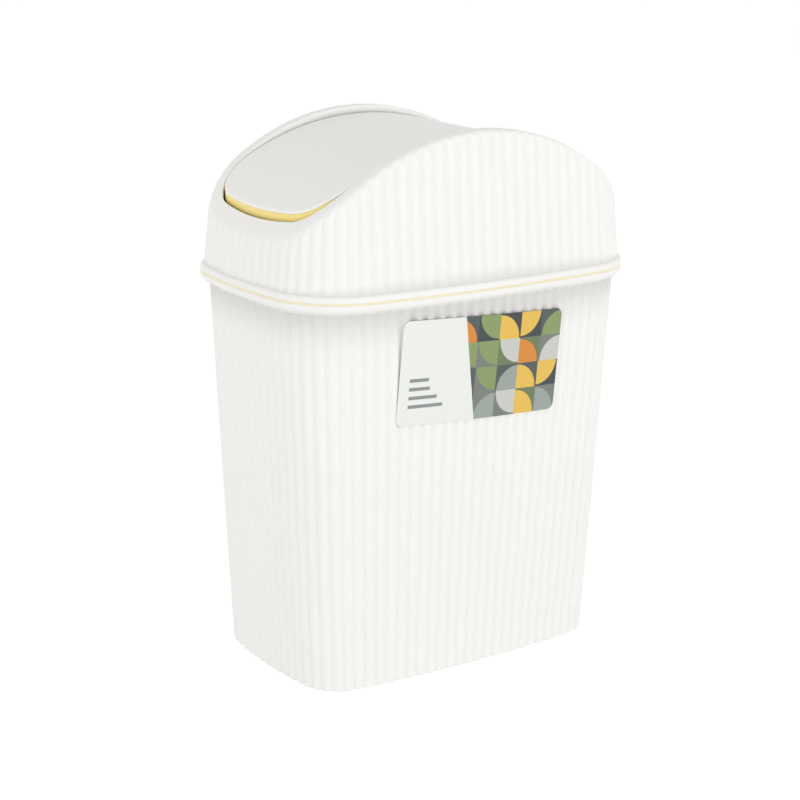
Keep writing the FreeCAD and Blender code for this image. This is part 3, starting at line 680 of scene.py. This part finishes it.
def make_label():
    """Label: a grid over a rounded rectangle, tilted and laid on the crests of the broad side.

    Along each row of the grid x runs between the rounded ends. The side stands out at a point by the arc
    of its bow at that height, and the film dips a little between crests. The thickness goes inwards.
    """
    half_x = LABEL_LENGTH / 2
    half_z = LABEL_WIDTH / 2
    bend = np.pi / 2 * np.linspace(0, 1, LABEL_CORNER_STEPS)
    cap = half_z - LABEL_CORNER * (1 - np.sin(bend))
    local_z = np.concatenate([-cap[::-1], np.linspace(-cap[0], cap[0], LABEL_ROWS)[1:-1], cap])
    past = np.clip(np.abs(local_z) - (half_z - LABEL_CORNER), 0, LABEL_CORNER)
    reach = half_x - LABEL_CORNER + np.sqrt(LABEL_CORNER ** 2 - past ** 2)
    local_x = reach[:, None] * np.linspace(-1, 1, LABEL_COLUMNS)
    local_z = np.broadcast_to(local_z[:, None], local_x.shape)
    middle_z = SEAM - RIM_HEIGHT - LABEL_MARGIN - half_z
    x = LABEL_X + local_x * math.cos(LABEL_TILT) - local_z * math.sin(LABEL_TILT)
    z = middle_z + local_x * math.sin(LABEL_TILT) + local_z * math.cos(LABEL_TILT)
    share = z / SEAM
    bow = SIDE_BOW - share * RIM_OVERHANG
    half_width = (BASE_WIDTH + share * (FLANGE_WIDTH - 2 * RIM_OVERHANG - BASE_WIDTH)) / 2
    side = half_width - bow + np.sqrt(bow ** 2 - x ** 2)
    length = BASE_LENGTH + share * (FLANGE_LENGTH - 2 * RIM_OVERHANG - BASE_LENGTH)
    ripple = LABEL_RIPPLE * (1 - np.cos(2 * np.pi * x / rib_pitch(length, half_width * 2))) / 2
    y = -(side + LABEL_GAP + LABEL_THICKNESS - ripple)
    count, across = x.shape
    index = np.arange(count * across).reshape(count, across)
    corners = [index[:-1, :-1], index[:-1, 1:], index[1:, 1:], index[1:, :-1]]
    quads = np.stack(corners, axis=-1).reshape(-1, 4)
    piece = mesh_piece("label_film", np.stack([x, y, z], axis=-1).reshape(-1, 3), quads)
    uv = np.stack([local_x / LABEL_LENGTH + 0.5, local_z / LABEL_WIDTH + 0.5], axis=-1).reshape(-1, 2)
    layer = piece.data.uv_layers.new(name="print")
    layer.data.foreach_set("uv", uv[quads.ravel()].astype(np.float32).ravel())
    solid = piece.modifiers.new("film", "SOLIDIFY")
    solid.thickness = LABEL_THICKNESS
    solid.offset = -1
    return piece


# Finishes


def linear(colour):
    """A linear colour from an sRGB hex value."""
    channels = np.array([int(colour[i:i + 2], 16) / 255 for i in (1, 3, 5)])
    low = channels / 12.92
    high = ((channels + 0.055) / 1.055) ** 2.4
    return (*np.where(channels <= 0.04045, low, high), 1.0)


def per(size):
    """The texture scale that gives a pattern of that size in metres."""
    return 1 / size


def add_node(tree, kind, inputs=None, **settings):
    """Add a node with its settings. Each input is a value, or another node's output to link."""
    node = tree.nodes.new(kind)
    for key, value in settings.items():
        setattr(node, key, value)
    for key, value in (inputs or {}).items():
        if isinstance(value, bpy.types.NodeSocket):
            tree.links.new(value, node.inputs[key])
        else:
            node.inputs[key].default_value = value
    return node


def new_material(name):
    """An empty node material, with its tree and its output node."""
    material = bpy.data.materials.new(name)
    material.use_nodes = True
    tree = material.node_tree
    tree.nodes.clear()
    return material, tree, add_node(tree, "ShaderNodeOutputMaterial")


# Polypropylene: clouds left by the melt, the mould's grain, and how far light goes in.
# The grain of a satin mould is about 0.1 mm, drawn at 0.5 mm so that it shows.
CLOUD_SIZE = 35 * MM
GRAIN_SIZE = 0.5 * MM
GRAIN_DEPTH = 0.05 * MM
GLOW_DEPTH = 1.5 * MM

# Acetal: tool marks about 0.2 mm apart, drawn at 0.8 mm so that they show.
# At scale 1 a wave repeats every pi / 10.
TOOL_MARK = 0.8 * MM
WAVE_PERIOD = math.pi / 10


def polypropylene(name, pale, deep, glow):
    """Injection-moulded polypropylene: a waxy satin skin, slightly translucent, with a fine moulded grain.

    The eye sees a soft broad gloss, light that bleeds into thin edges, a faint clouding of the colour from
    the flow of the melt, and a grain that breaks the reflections up.
    """
    material, tree, output = new_material(name)
    place = add_node(tree, "ShaderNodeTexCoord").outputs["Object"]
    inputs = {"Vector": place, "Scale": per(CLOUD_SIZE), "Detail": 3.0}
    cloud = add_node(tree, "ShaderNodeTexNoise", inputs)
    inputs = {"Factor": cloud.outputs["Fac"], "A": linear(pale), "B": linear(deep)}
    colour = add_node(tree, "ShaderNodeMix", inputs, data_type="RGBA")
    inputs = {"Vector": place, "Scale": per(GRAIN_SIZE), "Detail": 2.0}
    grain = add_node(tree, "ShaderNodeTexNoise", inputs)
    inputs = {"Value": grain.outputs["Fac"], "To Min": 0.36, "To Max": 0.5}
    gloss = add_node(tree, "ShaderNodeMapRange", inputs)
    inputs = {"Height": grain.outputs["Fac"], "Strength": 0.06, "Distance": GRAIN_DEPTH}
    bump = add_node(tree, "ShaderNodeBump", inputs)
    shader = add_node(
        tree,
        "ShaderNodeBsdfPrincipled",
        {
            "Base Color": colour.outputs["Result"],
            "Roughness": gloss.outputs["Result"],
            "Normal": bump.outputs["Normal"],
            "IOR": 1.49,
            "Subsurface Weight": 0.15,
            "Subsurface Radius": glow,
            "Subsurface Scale": GLOW_DEPTH,
        },
    )
    tree.links.new(shader.outputs["BSDF"], output.inputs["Surface"])
    return material


def acetal():
    """Turned acetal: hard, smooth and glossy, with faint rings from the tool."""
    material, tree, output = new_material("acetal_turned")
    place = add_node(tree, "ShaderNodeTexCoord").outputs["Object"]
    inputs = {"Vector": place, "Scale": WAVE_PERIOD * per(TOOL_MARK)}
    marks = add_node(tree, "ShaderNodeTexWave", inputs, bands_direction="Y")
    inputs = {"Value": marks.outputs["Fac"], "To Min": 0.2, "To Max": 0.32}
    gloss = add_node(tree, "ShaderNodeMapRange", inputs)
    inputs = {"Base Color": linear("#efeee9"), "Roughness": gloss.outputs["Result"], "IOR": 1.48}
    shader = add_node(tree, "ShaderNodeBsdfPrincipled", inputs)
    tree.links.new(shader.outputs["BSDF"], output.inputs["Surface"])
    return material


# The label's print: a pale panel with plain bars, and a field of quarter discs in muted colours
PANEL = "#eceeea"
BAR = "#8d918f"
FIELD_COLOURS = ("#4f5556", "#787d78", "#6a7a56", "#39403f")
DISC_COLOURS = ("#d98a32", "#e6bd52", "#9aa39c", "#879a62", "#c9cbc4")
TILE = LABEL_WIDTH / 4

# Sums that draw the print: a name, an operation and two terms, which are numbers or names above them.
# x and y run from 0 to 1 over the label, and a tile's own x and y run from 0 to 1 over the tile.
PRINT_SUMS = (
    # A quarter disc in each tile, about one of the tile's corners
    ("corner_x", "ROUND", "draw_red", 0.0),
    ("corner_y", "ROUND", "draw_green", 0.0),
    ("away_x", "SUBTRACT", "tile_x", "corner_x"),
    ("away_y", "SUBTRACT", "tile_y", "corner_y"),
    ("square_x", "POWER", "away_x", 2.0),
    ("square_y", "POWER", "away_y", 2.0),
    ("square", "ADD", "square_x", "square_y"),
    ("disc", "LESS_THAN", "square", 0.88),
    # The field of tiles, right of a slanted edge
    ("slant", "MULTIPLY", "y", -0.1),
    ("edge", "ADD", "slant", 0.47),
    ("field", "GREATER_THAN", "x", "edge"),
    # Bars in twelve lines, of uneven length, on the lower half of the panel
    ("lines", "MULTIPLY", "y", 12.0),
    ("line", "FLOOR", "lines", 0.0),
    ("within_line", "FRACT", "lines", 0.0),
    ("wave", "SINE", "line", 0.0),
    ("uneven", "MULTIPLY", "wave", 0.05),
    ("bar_end", "ADD", "uneven", 0.22),
    ("past_start", "GREATER_THAN", "x", 0.06),
    ("before_end", "LESS_THAN", "x", "bar_end"),
    ("inked", "LESS_THAN", "within_line", 0.4),
    ("above", "GREATER_THAN", "y", 0.16),
    ("below", "LESS_THAN", "y", 0.5),
    ("across", "MULTIPLY", "past_start", "before_end"),
    ("upright", "MULTIPLY", "above", "below"),
    ("place", "MULTIPLY", "across", "upright"),
    ("bar", "MULTIPLY", "place", "inked"),
)


def label_film():
    """Printed polypropylene film: flat inks under a smooth skin, which gives them a soft sheen."""
    material, tree, output = new_material("polypropylene_film_printed")
    place = add_node(tree, "ShaderNodeTexCoord").outputs["UV"]
    count = (LABEL_LENGTH / TILE, LABEL_WIDTH / TILE, 1)
    # Tiles are counted from the right edge, so that whole ones meet it
    inputs = {0: place, 1: count, 2: (-count[0], 0, 0)}
    tiles = add_node(tree, "ShaderNodeVectorMath", inputs, operation="MULTIPLY_ADD").outputs[0]
    cell = add_node(tree, "ShaderNodeVectorMath", {0: tiles}, operation="FLOOR").outputs[0]
    inside = add_node(tree, "ShaderNodeVectorMath", {0: tiles}, operation="FRACTION").outputs[0]
    chance = add_node(tree, "ShaderNodeTexWhiteNoise", {"Vector": cell}, noise_dimensions="2D").outputs
    draws = add_node(tree, "ShaderNodeSeparateColor", {"Color": chance["Color"]}).outputs
    spot = add_node(tree, "ShaderNodeSeparateXYZ", {"Vector": inside}).outputs
    whole = add_node(tree, "ShaderNodeSeparateXYZ", {"Vector": place}).outputs
    value = {"x": whole["X"], "y": whole["Y"], "tile_x": spot["X"], "tile_y": spot["Y"]}
    value.update(draw_red=draws["Red"], draw_green=draws["Green"])
    for name, operation, first, second in PRINT_SUMS:
        terms = {0: value.get(first, first), 1: value.get(second, second)}
        value[name] = add_node(tree, "ShaderNodeMath", terms, operation=operation).outputs["Value"]

    inks = []
    for draw, colours in ((draws["Blue"], FIELD_COLOURS), (chance["Value"], DISC_COLOURS)):
        ramp = add_node(tree, "ShaderNodeValToRGB", {"Fac": draw})
        ramp.color_ramp.interpolation = "CONSTANT"
        stops = ramp.color_ramp.elements
        for i, colour in enumerate(colours):
            stop = stops[i] if i < 2 else stops.new(i / len(colours))
            stop.position = i / len(colours)
            stop.color = linear(colour)
        inks.append(ramp.outputs["Color"])
    inputs = {"Factor": value["disc"], "A": inks[0], "B": inks[1]}
    picture = add_node(tree, "ShaderNodeMix", inputs, data_type="RGBA").outputs["Result"]
    inputs = {"Factor": value["bar"], "A": linear(PANEL), "B": linear(BAR)}
    panel = add_node(tree, "ShaderNodeMix", inputs, data_type="RGBA").outputs["Result"]
    inputs = {"Factor": value["field"], "A": panel, "B": picture}
    colour = add_node(tree, "ShaderNodeMix", inputs, data_type="RGBA").outputs["Result"]
    inputs = {"Base Color": colour, "Roughness": 0.38, "IOR": 1.49}
    shader = add_node(tree, "ShaderNodeBsdfPrincipled", inputs)
    tree.links.new(shader.outputs["BSDF"], output.inputs["Surface"])
    return material


WHITE = polypropylene("white_polypropylene_moulded", "#f8f7f4", "#f5f4f0", (1.0, 0.95, 0.88))
YELLOW = polypropylene("yellow_polypropylene_moulded", "#ffea94", "#fde48a", (1.0, 0.8, 0.3))
# The ring's thin edge looks paler than the flap's liner
PALE_YELLOW = polypropylene("pale_yellow_polypropylene_moulded", "#f9efc8", "#f6eac0", (1.0, 0.9, 0.6))
ACETAL = acetal()
FILM = label_film()

dress(make_bucket(), "bucket", WHITE, "white_polypropylene", "bucket")
dress(make_label(), "bucket", FILM, "label_film", "label")
dress(make_bag_ring(), "bag_ring", PALE_YELLOW, "yellow_polypropylene", "bag_ring")
dress(make_lid(), "lid", WHITE, "white_polypropylene", "lid_shell")
for side_name, side_sign, facing_out in (("front", -1, FRONT), ("back", 1, BACK)):
    dress(make_boss(f"lid_boss_{side_name}", facing_out, side_sign), "lid", WHITE, "white_polypropylene")
    dress(make_web(f"lid_web_{side_name}", side_sign), "lid", WHITE, "white_polypropylene")
    dress(make_cheek(f"liner_cheek_{side_name}", side_sign), "flap", YELLOW, "yellow_polypropylene")
    frame["nodes"][f"pivot_pin_{side_name}"].data.materials.clear()
    frame["nodes"][f"pivot_pin_{side_name}"].data.materials.append(ACETAL)

cover = arched_panel(
    "flap_cover_moulded", (cover_low, cover_high), COVER_CORNER,
    COVER_RADIUS, COVER_THICKNESS, COVER_ROUND, COVER_THICKNESS, GATE_DEPTH,
)
dress(cover, "flap", WHITE, "white_polypropylene", "flap_cover")
liner = arched_panel(
    "flap_liner_moulded", (liner_low, liner_high), LINER_CORNER,
    LINER_RADIUS - LAYER_GAP, LINER_THICKNESS, LINER_ROUND, LINER_RIM, 0,
)
dress(liner, "flap", YELLOW, "yellow_polypropylene", "flap_liner")
peg_places = [(x, y) for x in (-PEG_X, PEG_X) for y in (-PEG_Y, PEG_Y)]
for peg_number, (peg_x, peg_y) in enumerate(peg_places, start=1):
    dress(make_peg(peg_number, peg_x, peg_y), "flap", WHITE, "white_polypropylene")

# Stage: a pale floor under soft studio light


def seen_directly(tree):
    """1 for rays from the camera, and for those that gloss or glass sends on, otherwise 0."""
    path = add_node(tree, "ShaderNodeLightPath").outputs
    inputs = {0: path["Is Glossy Ray"], 1: path["Is Transmission Ray"]}
    passed = add_node(tree, "ShaderNodeMath", inputs, operation="MAXIMUM").outputs["Value"]
    inputs = {0: path["Is Camera Ray"], 1: passed}
    return add_node(tree, "ShaderNodeMath", inputs, operation="MAXIMUM").outputs["Value"]


# Half the floor's width, its lift to white, and the world's light at the horizon and overhead
FLOOR_REACH = 4.0
TABLE_LIFT = 0.34
HORIZON_LIGHT = 1.1
OVERHEAD_LIGHT = 0.5


def make_floor():
    """A flat white table. Seen directly it is lifted to white, and its own shading takes the shadow."""
    material, tree, output = new_material("opal_acrylic_table")
    opal = add_node(tree, "ShaderNodeBsdfDiffuse", {"Color": linear("#fafafa")})
    inputs = {0: seen_directly(tree), 1: TABLE_LIFT}
    lift = add_node(tree, "ShaderNodeMath", inputs, operation="MULTIPLY").outputs["Value"]
    glow = add_node(tree, "ShaderNodeEmission", {"Color": linear("#ffffff"), "Strength": lift})
    lit = add_node(tree, "ShaderNodeAddShader", {0: opal.outputs[0], 1: glow.outputs[0]})
    tree.links.new(lit.outputs[0], output.inputs["Surface"])
    reach = FLOOR_REACH
    points = np.array([(-reach, -reach, 0), (reach, -reach, 0), (reach, reach, 0), (-reach, reach, 0)])
    floor = mesh_piece("studio_floor", points, np.array([[0, 1, 2, 3]]))
    floor.data.materials.append(material)


def make_world():
    """White all round. Its light is strong from the sides, as from tall softboxes, and weak overhead."""
    world = bpy.data.worlds.new("studio_white")
    world.use_nodes = True
    tree = world.node_tree
    tree.nodes.clear()
    output = add_node(tree, "ShaderNodeOutputWorld")
    direction = add_node(tree, "ShaderNodeTexCoord").outputs["Generated"]
    height = add_node(tree, "ShaderNodeSeparateXYZ", {"Vector": direction}).outputs["Z"]
    inputs = {"Value": height, "To Min": HORIZON_LIGHT, "To Max": OVERHEAD_LIGHT}
    fade = add_node(tree, "ShaderNodeMapRange", inputs)
    inputs = {"Color": linear("#ffffff"), "Strength": fade.outputs["Result"]}
    light = add_node(tree, "ShaderNodeBackground", inputs)
    seen = add_node(tree, "ShaderNodeBackground", {"Color": linear("#ffffff"), "Strength": 1.0})
    inputs = {0: seen_directly(tree), 1: light.outputs[0], 2: seen.outputs[0]}
    mix = add_node(tree, "ShaderNodeMixShader", inputs)
    tree.links.new(mix.outputs[0], output.inputs["Surface"])
    bpy.context.scene.world = world


def make_softbox(name, azimuth, elevation, distance, size, power):
    """A square soft light that faces the middle of the object. Azimuth and elevation are in degrees."""
    lamp = bpy.data.lights.new(name, "AREA")
    lamp.shape = "SQUARE"
    lamp.size = size
    lamp.energy = power
    right, back = directions(math.radians(azimuth), math.radians(elevation))
    set_up(lamp, name, back * distance + np.array([0, 0, CREST / 2]), right, back)


def directions(azimuth, elevation):
    """Right-hand and backward directions of a light or a camera that looks in from those angles."""
    level = math.cos(elevation)
    right = np.array([math.cos(azimuth), math.sin(azimuth), 0])
    back = np.array([math.sin(azimuth) * level, -math.cos(azimuth) * level, math.sin(elevation)])
    return right, back


def set_up(data, name, position, right, back):
    """Add a light or a camera at a position, from its right-hand and backward directions."""
    item = bpy.data.objects.new(name, data)
    columns = np.stack([right, np.cross(back, right), back], axis=-1)
    item.matrix_world = Matrix.Translation(position) @ Matrix(columns.tolist()).to_4x4()
    bpy.context.scene.collection.objects.link(item)
    return item


def make_camera():
    """The photograph's camera: it looks at a point near the object's upright axis, rolled a little."""
    right, back = directions(VIEW_AZIMUTH, VIEW_ELEVATION)
    position = right * VIEW_RIGHT + np.array([0, 0, VIEW_HEIGHT]) + back * VIEW_DISTANCE
    rolled = right * math.cos(VIEW_ROLL) + np.cross(back, right) * math.sin(VIEW_ROLL)
    data = bpy.data.cameras.new("photo_camera")
    data.sensor_width = SENSOR_MM
    data.lens = FOCAL_PIXELS / IMAGE_PIXELS * SENSOR_MM
    bpy.context.scene.camera = set_up(data, "photo_camera", position, rolled, back)


make_floor()
make_world()
make_softbox("key_softbox", azimuth=15, elevation=14, distance=1.4, size=1.0, power=3.8)
make_softbox("fill_softbox", azimuth=-75, elevation=5, distance=1.4, size=1.0, power=3.2)
make_camera()
bpy.context.scene.view_settings.view_transform = "Standard"
